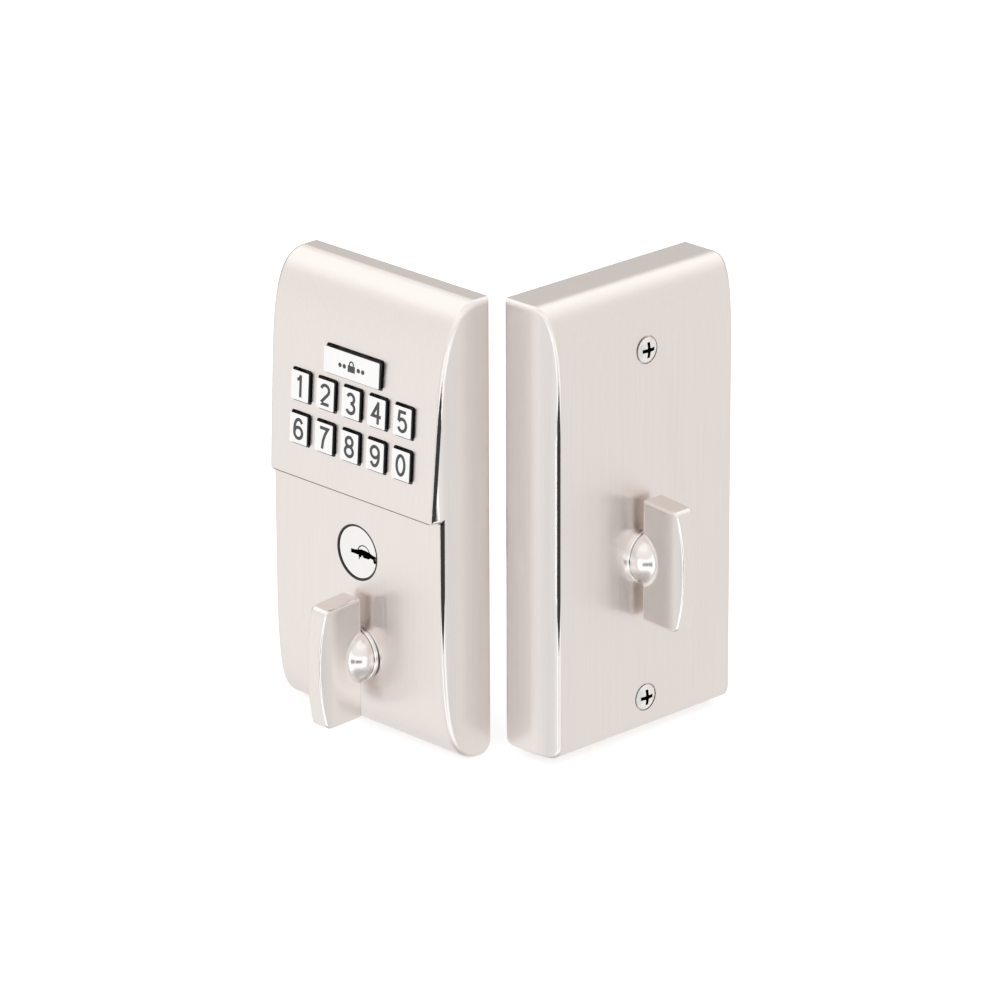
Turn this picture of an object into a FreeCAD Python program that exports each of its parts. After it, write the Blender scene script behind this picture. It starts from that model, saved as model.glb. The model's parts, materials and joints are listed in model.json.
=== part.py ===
import FreeCAD, Part
import math
import os

# Keypad deadbolt lock, shown as its two halves stand before they are fitted to a door.
# Millimetres, +Z up. The origin lies on the bolt axis in the back plane of the exterior half,
# whose front looks along -Y. The interior half stands beside it and its front looks along +X.
#
# Every half is drawn in its own local frame: x across, d outwards from the door, z up from
# the bolt axis. A depth d is the point y = -d.

V = FreeCAD.Vector
X_AXIS = V(1, 0, 0)
Z_AXIS = V(0, 0, 1)
OUTWARD = V(0, -1, 0)
ORIGIN = V(0, 0, 0)

# ---------------------------------------------------------------- driving dimensions

# exterior housing
ext_width = 77.6
ext_height = 146.0
bolt_height = 59.5          # bolt axis above the bottom of the exterior housing
ext_depth = 22.0            # at the step, where the keypad panel is deepest
low_depth = 19.3            # below the step
step_height = 78.3          # step above the bottom
panel_back_flat = 47.5      # the back of the keypad panel is flat up to here above the step
panel_slant = 3.5           # degrees the keypad panel leans back going up
ext_wall = 2.5
ext_side_straight = 10.0    # the sides are straight up to this depth, then lean in on an arc
ext_side_radius = 26.0
top_land = 5.5              # flat strip along the top, from the back
top_curve_drop = 34.0       # the front starts to curve back this far below the top
bottom_radius = 4.4         # round the back of the bottom
bottom_curve_rise = 40.0    # the front starts to curve back this far above the bottom
bottom_lip = 6.5            # solid bottom of the housing
ext_edge_radius = 1.6       # where the sides meet front, top and bottom
int_edge_radius = 1.4

# keypad
key_width = 7.7
key_height = 9.25
key_pitch_x = 11.3
key_pitch_z = 13.6
key_rows_up = 15.9          # centre of the lower row above the step, along the panel
key_columns = 5
enter_width = 24.3
enter_height = 8.1
enter_up = 41.0             # centre of the wide key above the step
key_corner = 0.4
key_gap = 0.55              # beside a key in its opening
key_gap_up = 0.7            # above and below it
key_proud = 1.15
enter_proud = 1.35
key_travel = 1.2
key_flange = 1.2            # flange beyond the key all round, behind the panel
flange_thick = 1.0
flange_gap = 0.3            # flange to the back of the panel
dome_gap = 0.3              # pressed key to the flattened dome
dome_radius = 3.0
dome_rise = 0.7
membrane_thick = 0.8
board_thick = 1.2
clamp_thick = 1.2
keypad_half_width = 34.2
keypad_low = 5.5            # lower edge of board and membrane above the step
keypad_high = 50.0
keypad_screw_x = 31.3
keypad_screw_low = 8.6
keypad_screw_high = 46.6
keypad_boss_radius = 2.3

# key cylinder
plug_hole_radius = 8.95
plug_face_radius = 8.15
plug_face_recess = 0.3
trim_inner = 8.35           # black ring between the plug's head and the housing
plug_radius = 6.0
plug_clearance = 0.06
shell_radius = 11.0
shell_front_gap = 0.2       # plug head to the shell behind it
head_thick = 3.0
tail_radius = 4.5
pin_radius = 0.95
pin_clearance = 0.05
pin_pitch = 2.5
pin_count = 4
bible_width = 7.0
bible_reach = 14.6
cylinder_ear = 20.0
cylinder_ear_thick = 3.0
cylinder_screw_x = 17.0
keyway_depth = 12.0
groove_radius = 2.9         # shallow arc cut over the keyway
groove_width = 0.35
groove_depth = 0.3
groove_x = 2.6
tailpiece_width = 6.5
tailpiece_thick = 1.6
tailpiece_length = 37.0

# gears between the bolt axis and the exterior thumbturn
turn_drop = 32.5            # exterior thumbturn below the bolt axis, also the centre distance
gear_teeth = 20
gear_thick = 2.3
gear_addendum = 0.9         # in modules
gear_dedendum = 1.2
tooth_share = 0.43          # tooth width over the pitch, the rest is space and backlash
flank_angle = 20.0

# thumbturns
grip_up = (19.4, 18.4)      # upper end above the axis: at the back, at the front
grip_down = (19.6, 20.2)    # lower end below it
grip_half_width = 3.9
grip_standoff = 2.25        # back of the grip above the panel
grip_straight = 11.0        # the sides are straight up to here
grip_side_radius = 24.0     # and lean in on this radius beyond
grip_front_end = 16.2       # front of the grip at its ends
grip_front_mid = 18.7       # and at the middle
grip_nose_radius = 2.2      # where the ends meet the front
grip_edge_radius = 0.8
neck_blend_radius = 3.5     # between neck and grip
collar_radius = 8.9
collar_height = 1.1
neck_radius = 8.25
neck_height = 7.7
neck_gap = 0.12             # thumbturn neck above its collar
shaft_radius = 4.5
shaft_clearance = 0.06
journal_radius = 2.5
ring_thick = 0.65
ring_gap = 0.25             # retaining ring to what it bears on
ext_ring_gap = 1.0          # more on the exterior, where the front curves in below the shaft

# clutch and solenoid
drum_radius = 9.0
drum_depths = (7.0, 12.6)
notch_width = 4.2
notch_depth = 3.0
plunger_radius = 1.5
plunger_clearance = 0.07
plunger_gap = 0.4           # plunger tip to the drum at rest
plunger_travel = 2.0
coil_radius = 3.4
coil_ends = (17.0, 31.0)
solenoid_far = 34.0
solenoid_half_height = 5.0
bracket = 1.0

# back plates, gasket, posts
gasket_thick = 1.0
gasket_width = 4.0
plate_thick = 1.5
plate_clearance = 0.4
plate_screw_x = 28.5
plate_screw_high = 76.0
plate_screw_low = -44.5
plate_boss_radius = 3.5
plate_screw_radius = 1.45
thread_clearance = 0.05
post_spacing = 38.0
post_radius = 4.0
post_length = 14.0
post_bore_radius = 2.1
cable_port = (12.0, 7.0)
cable_port_up = 22.5

# interior half
int_width = 78.0
int_height = 143.0
int_drop = 57.0             # bottom of the interior cover below the bolt axis
int_depth = 21.5
int_wall = 2.2
int_side_straight = 11.0
int_side_radius = 24.0
int_top_land = 11.5
int_top_curve = 25.0
int_bottom_back_radius = 3.0
int_bottom_front_radius = 4.0
int_bottom_lip = 4.8
half_gap = 2.6              # the back planes' near edges stand this far apart both ways
cover_screw_high = 65.7
cover_screw_low = -46.3
screw_head_radius = 3.95
screw_head_gap = 0.5
screw_head_thick = 1.3
screw_dome = 0.9
cross_arm = 2.5
cross_width = 1.15
screw_shank_radius = 1.85
cover_post_radius = 4.0
cover_post_gap = 1.6          # post to the inside of the cover, which curves away near the top
bolt_hole_radius = 2.7
hub_radius = 7.5
hub_depths = (2.6, 12.0)
hub_flat = 0.5
detent_gap = 0.25
bushing_radius = 7.0
bushing_length = 4.0
battery = (26.5, 17.5, 48.5)
battery_left = 8.0
battery_bottom = 14.0
battery_corner = 2.0
tray_wall = 1.2
control_board = (-34.0, -8.5, 14.0, 62.0)
control_board_depth = 5.0

# ---------------------------------------------------------------- worked-out values

ext_bottom = -bolt_height
ext_top = ext_bottom + ext_height
step_z = ext_bottom + step_height
slant = math.tan(math.radians(panel_slant))
low_inner = low_depth - ext_wall
turn_z = -turn_drop
plate_back = gasket_thick
plate_front = plate_back + plate_thick
gear_back = plate_front + 0.4
gear_front = gear_back + gear_thick
shell_back = gear_front + 0.6
int_bottom = -int_drop
int_top = int_bottom + int_height
int_inner = int_depth - int_wall


# ---------------------------------------------------------------- shape helpers

def slab(x0, x1, z0, z1, d0, d1):
    return Part.makeBox(x1 - x0, d1 - d0, z1 - z0, V(x0, -d1, z0))


def disc(radius, d0, d1, x=0.0, z=0.0):
    return Part.makeCylinder(radius, d1 - d0, V(x, -d0, z), OUTWARD)


def ring(outer, inner, d0, d1, x=0.0, z=0.0):
    return disc(outer, d0, d1, x, z).cut(disc(inner, d0 - 1, d1 + 1, x, z))


def rod_x(radius, x0, x1, d, z):
    return Part.makeCylinder(radius, x1 - x0, V(x0, -d, z), X_AXIS)


def prism(points, direction):
    wire = Part.makePolygon(points + points[:1])
    return Part.Face(wire).extrude(direction)


def rounded_slab(width, height, corner, d0, d1, x=0.0, z=0.0):
    block = slab(x - width / 2, x + width / 2, z - height / 2, z + height / 2, d0, d1)
    upright = [e for e in block.Edges if abs(e.tangentAt(e.FirstParameter).y) > 0.9]
    return block.makeFillet(corner, upright)


def fused(shapes):
    return shapes[0].fuse(shapes[1:]).removeSplitter()


def curve(*points):
    bezier = Part.BezierCurve()
    bezier.setPoles(list(points))
    return bezier.toShape()


def line(a, b):
    return Part.LineSegment(a, b).toShape()


def arc(a, middle, b):
    return Part.Arc(a, middle, b).toShape()


def corner_arc(centre, radius, start_deg, end_deg):
    """Quarter round in the depth-height plane; the angle runs from depth towards height."""
    def at(angle):
        a = math.radians(angle)
        return centre + V(0, -radius * math.cos(a), radius * math.sin(a))
    return arc(at(start_deg), at((start_deg + end_deg) / 2), at(end_deg))


def side_view(edges, half_width):
    """Solid with the given outline in the depth-height plane, as wide as the housing."""
    face = Part.Face(Part.Wire(edges))
    return face.translated(V(-half_width, 0, 0)).extrude(V(2 * half_width, 0, 0))


def plan_view(width, straight, radius, depth, z0, z1, inset=0.0):
    """Upright solid: straight sides from the back, then arcs that lean in to the front."""
    half = width / 2 - inset
    lean = radius - inset
    centre_x = half - lean
    turn = math.asin((depth - straight) / lean)

    def on_arc(side, angle):
        return V(side * (centre_x + lean * math.cos(angle)), -straight - lean * math.sin(angle), z0)

    back = 2.0 if inset else 0.0
    edges = [
        line(V(-half, back, z0), V(-half, -straight, z0)),
        arc(V(-half, -straight, z0), on_arc(-1, turn / 2), on_arc(-1, turn)),
        line(on_arc(-1, turn), on_arc(1, turn)),
        arc(on_arc(1, turn), on_arc(1, turn / 2), V(half, -straight, z0)),
        line(V(half, -straight, z0), V(half, back, z0)),
        line(V(half, back, z0), V(-half, back, z0)),
    ]
    return Part.Face(Part.Wire(edges)).extrude(V(0, 0, z1 - z0))


def point(d, z):
    return V(0, -d, z)


def coil_spring(radius, wire, turns, length):
    """Coil along +X from the origin."""
    pitch = (length - wire) / turns
    helix = Part.makeLongHelix(pitch, pitch * turns, radius)
    section = Part.Wire(Part.makeCircle(wire / 2, V(radius, 0, 0), V(0, 1, 0)))
    coil = Part.Wire(helix.Edges).makePipeShell([section], True, True)
    coil = coil.rotated(ORIGIN, V(0, 1, 0), 90)
    return coil.translated(V(wire / 2, 0, 0))


def screw(x, z, head_radius, head_back, head_front, shank_radius, tip):
    head = disc(head_radius, head_back, head_front, x, z)
    low, high = sorted((tip, (head_back + head_front) / 2))
    return fused([head, disc(shank_radius, low, high, x, z)])


def export(name, *shapes):
    solids = [solid for shape in shapes for solid in shape.Solids]
    shape = solids[0] if len(solids) == 1 else Part.makeCompound(solids)
    shape.exportStep("parts/" + name + ".step")


# ---------------------------------------------------------------- exterior housing

def panel_depth(z):
    """Depth of the slanted keypad panel at height z."""
    return ext_depth - (z - step_z) * slant


def exterior_outline():
    curve_z = ext_top - top_curve_drop
    front = panel_depth(curve_z)
    rise_z = ext_bottom + bottom_curve_rise
    return [
        line(point(0, ext_bottom + bottom_radius), point(0, ext_top)),
        line(point(0, ext_top), point(top_land, ext_top)),
        curve(point(top_land, ext_top), point(top_land + 8.5, ext_top - 0.8),
              point(front - 20 * slant, curve_z + 24.5), point(front, curve_z)),
        line(point(front, curve_z), point(ext_depth, step_z)),
        line(point(ext_depth, step_z), point(low_depth, step_z)),
        line(point(low_depth, step_z), point(low_depth, rise_z)),
        curve(point(low_depth, rise_z), point(low_depth - 0.4, ext_bottom + 8.5),
              point(16.4, ext_bottom), point(bottom_radius, ext_bottom)),
        corner_arc(point(bottom_radius, ext_bottom + bottom_radius), bottom_radius, 270, 180),
    ]


def exterior_cavity_outline():
    flat_z = step_z + panel_back_flat
    front = panel_depth(flat_z) - ext_wall
    floor = ext_bottom + bottom_lip
    ledge = step_z + ext_wall
    roof = ext_top - ext_wall
    return [
        line(point(-2, floor), point(-2, roof)),
        line(point(-2, roof), point(top_land, roof)),
        curve(point(top_land, roof), point(top_land + 6.5, roof - 1.5),
              point(front - 7 * slant, flat_z + 7), point(front, flat_z)),
        line(point(front, flat_z), point(panel_depth(ledge) - ext_wall, ledge)),
        line(point(panel_depth(ledge) - ext_wall, ledge), point(low_inner, ledge)),
        line(point(low_inner, ledge), point(low_inner, floor + 26)),
        curve(point(low_inner, floor + 26), point(low_inner, floor + 6),
              point(14, floor), point(9, floor)),
        line(point(9, floor), point(-2, floor)),
    ]


def front_side_edges(shape, width, straight):
    """Edges where the sides meet the front, top and bottom, but not the back."""
    chosen = []
    for edge in shape.Edges:
        middle = edge.valueAt((edge.FirstParameter + edge.LastParameter) / 2)
        depth = -middle.y
        beside = abs(middle.x) > width / 2 - 5
        on_straight_seam = abs(depth - straight) < 0.01 and edge.BoundBox.YLength < 0.01
        if beside and depth > 0.5 and not on_straight_seam:
            chosen.append(edge)
    return chosen


def exterior_body():
    plan = plan_view(ext_width, ext_side_straight, ext_side_radius, ext_depth + 1,
                     ext_bottom, ext_top)
    return plan.common(side_view(exterior_outline(), ext_width))


def key_positions():
    """Name, x, height above the step, width, height, protrusion of each key."""
    names = ["key_6", "key_7", "key_8", "key_9", "key_0", "key_1", "key_2", "key_3", "key_4", "key_5"]
    for index, name in enumerate(names):
        row, column = divmod(index, key_columns)
        x = (column - (key_columns - 1) / 2) * key_pitch_x
        yield name, x, key_rows_up + row * key_pitch_z, key_width, key_height, key_proud
    yield "enter_key", 0.0, enter_up, enter_width, enter_height, enter_proud


def on_panel(shape):
    """Place a shape drawn on the panel: d = 0 on its surface, z up from the step."""
    leaned = shape.rotated(ORIGIN, X_AXIS, -panel_slant)
    return leaned.translated(point(ext_depth, step_z))


def keypad_screw_places():
    return [(side * keypad_screw_x, up)
            for side in (-1, 1) for up in (keypad_screw_low, keypad_screw_high)]


def plate_screw_places():
    return [(side * plate_screw_x, z)
            for side in (-1, 1) for z in (plate_screw_low, plate_screw_high)]


flange_front = ext_wall + flange_gap
flange_back = flange_front + flange_thick
dome_top = flange_back + key_travel + dome_gap
membrane_front = dome_top + dome_rise
board_front = membrane_front + membrane_thick
clamp_front = board_front + board_thick
clamp_back = clamp_front + clamp_thick


def exterior_housing():
    outer = exterior_body()
    bosses = [disc(plate_boss_radius, plate_front, ext_depth, x, z) for x, z in plate_screw_places()]
    bosses += [on_panel(disc(keypad_boss_radius, -membrane_front, -ext_wall / 2, x, z))
               for x, z in keypad_screw_places()]
    cavity = plan_view(ext_width, ext_side_straight, ext_side_radius, ext_depth + 0.5,
                       ext_bottom, ext_top, ext_wall)
    cavity = cavity.common(side_view(exterior_cavity_outline(), ext_width))
    cavity = cavity.cut(Part.makeCompound([boss.common(outer) for boss in bosses]))
    rounded = outer.makeFillet(ext_edge_radius,
                               front_side_edges(outer, ext_width, ext_side_straight))
    holes = [disc(plug_hole_radius, low_inner - 1, low_depth + 1),
             disc(shaft_radius + 1.0, low_inner - 1, low_depth + 1, 0, turn_z)]
    holes += [on_panel(rounded_slab(w + 2 * key_gap, h + 2 * key_gap_up, key_corner + key_gap,
                                    -ext_wall - 1.5, 2, x, up))
              for _, x, up, w, h, _ in key_positions()]
    holes += [disc(plate_screw_radius + thread_clearance, plate_front - 1, plate_front + 7, x, z)
              for x, z in plate_screw_places()]
    holes += [on_panel(disc(1.25, -membrane_front - 1, -ext_wall - 0.5, x, up))
              for x, up in keypad_screw_places()]
    holes += [disc(1.3, low_inner - 0.5, low_depth - 0.8, side * cylinder_screw_x, 0)
              for side in (-1, 1)]
    return rounded.cut(Part.makeCompound([cavity] + holes))


# ---------------------------------------------------------------- keypad

def key(x, up, width, height, proud):
    body = rounded_slab(width, height, key_corner, -flange_back, proud, x, up)
    flange = rounded_slab(width + 2 * key_flange, height + 2 * key_flange, key_corner,
                          -flange_back, -flange_front, x, up)
    return on_panel(fused([body, flange]))


def keypad_sheet(front, thick):
    """Rectangle behind the keys with its screw holes; front is the depth behind the panel."""
    sheet = slab(-keypad_half_width, keypad_half_width, keypad_low, keypad_high, -front - thick, -front)
    holes = [disc(1.35, -front - thick - 1, -front + 1, x, up) for x, up in keypad_screw_places()]
    return sheet.cut(Part.makeCompound(holes))


def keypad_membrane():
    sheet = keypad_sheet(membrane_front, membrane_thick)
    domes = []
    for _, x, up, width, _, _ in key_positions():
        spots = (x,) if width < enter_width else (x - enter_width / 4, x + enter_width / 4)
        domes += [Part.makeCone(dome_radius, dome_radius - dome_rise, dome_rise,
                                V(spot, membrane_front, up), OUTWARD) for spot in spots]
    return on_panel(fused([sheet] + domes))


def keypad_clamp():
    """Pressed frame that holds board and membrane against the bosses."""
    plate = keypad_sheet(clamp_front, clamp_thick)
    window = slab(-keypad_half_width + 7, keypad_half_width - 7, keypad_low + 7, keypad_high - 7,
                  -clamp_back - 1, -clamp_front + 1)
    return on_panel(plate.cut(window))


def keypad_screws():
    return [on_panel(screw(x, up, 2.2, -clamp_back - 1.4, -clamp_back, 1.2, -ext_wall - 1.0))
            for x, up in keypad_screw_places()]


def keypad_chips():
    """Controller and the ribbon socket on the back of the board, inside the clamp's window."""
    chip = slab(-16, -6, 24, 34, -clamp_front - 1.6, -clamp_front)
    return on_panel(chip)


def keypad_connector():
    return on_panel(slab(2, 18, 14, 20, -clamp_front - 5.0, -clamp_front))


# ---------------------------------------------------------------- key cylinder

shell_front = low_inner
head_back = shell_front - 1.0
first_pin = shell_back + 1.3


def pin_depths():
    return [first_pin + index * pin_pitch for index in range(pin_count)]


def keyway():
    """Crooked slot from left of the centre to the right rim."""
    top = [(-3.1, 0.55), (-1.2, 0.65), (1.5, 1.35), (3.4, 1.35), (5.2, 1.1), (6.4, 0.7), (9.5, 0.3)]
    low = [(9.5, -1.7), (7.0, -1.8), (6.6, -0.7), (5.4, -0.6), (4.8, -1.1), (2.4, -1.2), (1.9, -0.6),
           (1.5, -0.7), (1.5, -1.3), (0.8, -1.3), (0.8, -2.0), (0.3, -2.0), (0.3, -0.75), (-3.1, -0.75)]
    front = low_depth + 1
    return prism([V(x, -front, z) for x, z in top + low], V(0, front - (low_depth - keyway_depth), 0))


def plug():
    face = low_depth - plug_face_recess
    body = fused([disc(plug_face_radius, head_back + shell_front_gap, face),
                  disc(plug_radius, shell_back - 0.1, head_back + shell_front_gap),
                  disc(tail_radius, gear_back, shell_back - 0.1)])
    pins = [rod_x(pin_radius + pin_clearance, -plug_radius - 1, -1.0, d, 0) for d in pin_depths()]
    groove = ring(groove_radius, groove_radius - groove_width, face - groove_depth, face + 1, groove_x, 0)
    groove = groove.common(slab(-9, 9, 0, 9, 0, face + 1))
    slot = slab(-tailpiece_width / 2, tailpiece_width / 2, -tailpiece_thick / 2, tailpiece_thick / 2,
                gear_back - 1, gear_back + 3.0)
    return body.cut(Part.makeCompound([keyway(), groove, slot] + pins))


def cylinder_trim():
    return ring(plug_hole_radius - 0.02, trim_inner, shell_front, low_depth)


def cylinder_shell():
    barrel = disc(shell_radius, shell_back, shell_front)
    bible = slab(-bible_reach, 0, -bible_width / 2, bible_width / 2, shell_back, head_back)
    ears = slab(-cylinder_ear, cylinder_ear, -bible_width / 2, bible_width / 2,
                shell_front - cylinder_ear_thick, shell_front)
    bore = disc(plug_radius + plug_clearance, shell_back - 1, shell_front + 1)
    recess = disc(plug_face_radius + 0.35, head_back, shell_front + 1)
    pins = [rod_x(pin_radius + pin_clearance, -bible_reach + 0.8, -plug_radius + 0.5, d, 0)
            for d in pin_depths()]
    screws = [disc(1.3, shell_front - cylinder_ear_thick - 1, shell_front + 1, side * cylinder_screw_x)
              for side in (-1, 1)]
    return fused([barrel, bible, ears]).cut(Part.makeCompound([bore, recess] + pins + screws))


def key_pins():
    lengths = (2.6, 3.4, 2.2, 3.0)
    return [rod_x(pin_radius, -plug_radius + 0.15, -plug_radius + 0.15 + length, d, 0)
            for d, length in zip(pin_depths(), lengths)]


def driver_pins():
    return [rod_x(pin_radius, -plug_radius - 3.2, -plug_radius - 0.2, d, 0) for d in pin_depths()]


def pin_springs():
    start = -bible_reach + 0.85
    length = -plug_radius - 3.25 - start
    spring = coil_spring(0.65, 0.3, 5, length)
    return [spring.translated(V(start, -d, 0)) for d in pin_depths()]


def cylinder_screws():
    ear_back = shell_front - cylinder_ear_thick
    return [screw(side * cylinder_screw_x, 0, 2.3, ear_back - 1.6, ear_back, 1.25, low_depth - 1.2)
            for side in (-1, 1)]


def cylinder_clip():
    """Clip on the plug's tail that keeps it in the shell."""
    return ring(plug_radius + 1.2, tail_radius + 0.05, gear_front + 0.05, shell_back - 0.15)


# ---------------------------------------------------------------- gears

def gear(x, z, bore, tooth_angle):
    """Spur gear; tooth_angle is the direction of one tooth's centre, in degrees."""
    module = turn_drop / gear_teeth
    pitch_radius = module * gear_teeth / 2
    pitch = math.pi * module
    flank = math.tan(math.radians(flank_angle))
    tip = gear_addendum * module
    root = -gear_dedendum * module
    outline = []
    for tooth in range(gear_teeth):
        centre = math.radians(tooth_angle) + 2 * math.pi * tooth / gear_teeth
        for side, reach in ((-1, root), (-1, tip), (1, tip), (1, root)):
            half_width = tooth_share * pitch / 2 - reach * flank
            radius = pitch_radius + reach
            angle = centre + side * half_width / radius
            outline.append(V(x + radius * math.cos(angle), -gear_front, z + radius * math.sin(angle)))
    return prism(outline, V(0, gear_thick, 0)).cut(disc(bore, gear_back - 1, gear_front + 1, x, z))


def hub_gear():
    body = gear(0, 0, tail_radius + 0.05, -90)
    return body


def transfer_gear():
    """Runs on the end of the thumbturn shaft; its hub faces the clutch drum."""
    bore = journal_radius + shaft_clearance
    hub = ring(6.0, bore, gear_front - 0.5, drum_depths[0] - 0.3, 0, turn_z)
    return fused([gear(0, turn_z, bore, 90 + 180 / gear_teeth), hub])


def tailpiece():
    return slab(-tailpiece_width / 2 + 0.05, tailpiece_width / 2 - 0.05,
                -tailpiece_thick / 2 + 0.05, tailpiece_thick / 2 - 0.05,
                gear_back + 3.0 - tailpiece_length, gear_back + 2.95)


# ---------------------------------------------------------------- thumbturns

def grip_section(panel, z):
    """Plan outline of the grip: straight sides that lean in on an arc towards the front."""
    tip = grip_front_mid + 1

    def half_at(depth):
        lean = depth - grip_straight
        return grip_half_width - grip_side_radius + math.sqrt(grip_side_radius ** 2 - lean ** 2)

    def at(side, depth):
        half = half_at(depth) if depth > grip_straight else grip_half_width
        return V(side * half, -panel - depth, z)

    middle = (grip_straight + tip) / 2
    return [
        line(at(-1, grip_standoff), at(-1, grip_straight)),
        arc(at(-1, grip_straight), at(-1, middle), at(-1, tip)),
        line(at(-1, tip), at(1, tip)),
        arc(at(1, tip), at(1, middle), at(1, grip_straight)),
        line(at(1, grip_straight), at(1, grip_standoff)),
        line(at(1, grip_standoff), at(-1, grip_standoff)),
    ]


def grip(panel, z):
    """Upright blade whose front bows out at the middle."""
    longest = 2 * max(grip_up + grip_down)
    blade = Part.Face(Part.Wire(grip_section(panel, z - longest / 2))).extrude(V(0, 0, longest))

    def at(depth, up):
        return V(-grip_half_width - 1, -panel - depth, z + up)

    edges = [
        line(at(grip_standoff, -grip_down[0]), at(grip_standoff, grip_up[0])),
        line(at(grip_standoff, grip_up[0]), at(grip_front_end, grip_up[1])),
        arc(at(grip_front_end, grip_up[1]), at(grip_front_mid, 0), at(grip_front_end, -grip_down[1])),
        line(at(grip_front_end, -grip_down[1]), at(grip_standoff, -grip_down[0])),
    ]
    side = Part.Face(Part.Wire(edges)).extrude(V(2 * grip_half_width + 2, 0, 0))
    blade = blade.common(side)
    noses = [e for e in blade.Edges
             if e.BoundBox.XLength > grip_half_width and e.BoundBox.YMax < -panel - grip_front_end + 0.1]
    blade = blade.makeFillet(grip_nose_radius, noses)
    return blade.makeFillet(grip_edge_radius, blade.Edges)


def neck(panel, z):
    """Domed neck between the collar and the grip."""
    base = collar_height + neck_gap
    profile = [
        line(V(0, -panel - base, z), V(neck_radius, -panel - base, z)),
        curve(V(neck_radius, -panel - base, z), V(neck_radius - 0.2, -panel - base - 2.6, z),
              V(6.4, -panel - neck_height + 1.2, z), V(3.2, -panel - neck_height, z)),
        line(V(3.2, -panel - neck_height, z), V(0, -panel - neck_height, z)),
        line(V(0, -panel - neck_height, z), V(0, -panel - base, z)),
    ]
    return Part.Face(Part.Wire(profile)).revolve(V(0, 0, z), V(0, 1, 0), 360)


def thumbturn(panel, z=0.0):
    body = grip(panel, z).fuse(neck(panel, z)).removeSplitter()
    creases = []
    for edge in body.Edges:
        middle = edge.valueAt((edge.FirstParameter + edge.LastParameter) / 2)
        depth = -middle.y - panel
        beside = math.hypot(middle.x, middle.z - z) < neck_radius + 0.3
        if beside and collar_height + neck_gap + 0.05 < depth < neck_height + 0.5:
            creases.append(edge)
    return body.makeFillet(neck_blend_radius, creases)


def collar(panel, z=0.0):
    body = ring(collar_radius, shaft_radius + shaft_clearance, panel, panel + collar_height, 0, z)
    rim = [e for e in body.Edges if e.BoundBox.XLength > 2 * collar_radius - 0.1
           and abs(e.BoundBox.YMin + panel + collar_height) < 0.01]
    return body.makeFillet(0.25, rim)


def exterior_turn_shaft():
    top = low_depth + collar_height + neck_gap
    return fused([disc(shaft_radius, drum_depths[0], top, 0, turn_z),
                  disc(journal_radius, plate_back + 0.1, drum_depths[0], 0, turn_z)])


def clutch_drum():
    """Drum on the thumbturn shaft with a notch every quarter turn for the plunger."""
    back, front = drum_depths
    body = ring(drum_radius, shaft_radius + 0.03, back, front, 0, turn_z)
    reach = drum_radius - notch_depth
    notch = slab(reach, drum_radius + 1, turn_z - notch_width / 2, turn_z + notch_width / 2,
                 back - 1, front + 1)
    notches = [notch.rotated(V(0, 0, turn_z), V(0, 1, 0), 90 * quarter) for quarter in range(4)]
    return body.cut(Part.makeCompound(notches))


def solenoid_frame():
    """Folded bracket: foot on the back plate beyond the gear, then over and down to the drum side."""
    depth = sum(drum_depths) / 2
    low = turn_z - solenoid_half_height
    high = turn_z + solenoid_half_height
    near = coil_ends[0] - bracket
    roof = depth + coil_radius + 0.4
    body = fused([
        slab(solenoid_far - 12, solenoid_far, low, high, plate_front, plate_front + bracket),
        slab(solenoid_far - bracket, solenoid_far, low, high, plate_front, roof + bracket),
        slab(near, solenoid_far, low, high, roof, roof + bracket),
        slab(near, near + bracket, low, high, depth - coil_radius, roof + bracket),
    ])
    bore = rod_x(plunger_radius + plunger_clearance, near - 1, near + bracket + 1, depth, turn_z)
    return body.cut(bore)


def solenoid_coil():
    depth = sum(drum_depths) / 2
    body = rod_x(coil_radius, coil_ends[0], coil_ends[1], depth, turn_z)
    core = rod_x(coil_radius - 0.8, coil_ends[1], solenoid_far - bracket, depth, turn_z)
    bore = rod_x(plunger_radius + plunger_clearance, coil_ends[0] - 1, coil_ends[1] - 1.5, depth, turn_z)
    return fused([body, core]).cut(bore)


def solenoid_plunger():
    depth = sum(drum_depths) / 2
    tip = drum_radius + plunger_gap
    stem = rod_x(plunger_radius, tip, coil_ends[1] - 2.0, depth, turn_z)
    flange = rod_x(plunger_radius + 1.1, tip + 1.9, tip + 2.7, depth, turn_z)
    return fused([stem, flange])


def plunger_spring():
    start = drum_radius + plunger_gap + 2.8
    length = coil_ends[0] - bracket - 0.1 - start
    spring = coil_spring(plunger_radius + 0.5, 0.4, 3, length)
    return spring.translated(V(start, -sum(drum_depths) / 2, turn_z))


# ---------------------------------------------------------------- exterior back

def plate_blank(width, low, high, d0, d1):
    return rounded_slab(width, high - low, 3.0, d0, d1, 0, (high + low) / 2)


ext_plate_width = ext_width - 2 * ext_wall - 2 * plate_clearance
ext_plate_low = ext_bottom + bottom_lip + plate_clearance
ext_plate_high = ext_top - ext_wall - plate_clearance


def port(depth_back, depth_front):
    width, height = cable_port
    return slab(-width / 2, width / 2, cable_port_up - height / 2, cable_port_up + height / 2,
                depth_back, depth_front)


def post_places():
    return [-post_spacing / 2, post_spacing / 2]


def exterior_back_plate():
    plate = plate_blank(ext_plate_width, ext_plate_low, ext_plate_high, plate_back, plate_front)
    holes = [disc(tail_radius + 2.5, plate_back - 1, plate_front + 1),
             disc(journal_radius + shaft_clearance, plate_back - 1, plate_front + 1, 0, turn_z),
             port(plate_back - 1, plate_front + 1)]
    holes += [disc(plate_screw_radius + 0.2, plate_back - 1, plate_front + 1, x, z)
              for x, z in plate_screw_places()]
    holes += [disc(post_radius - 0.95, plate_back - 1, plate_front + 1, x) for x in post_places()]
    return plate.cut(Part.makeCompound(holes))


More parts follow.
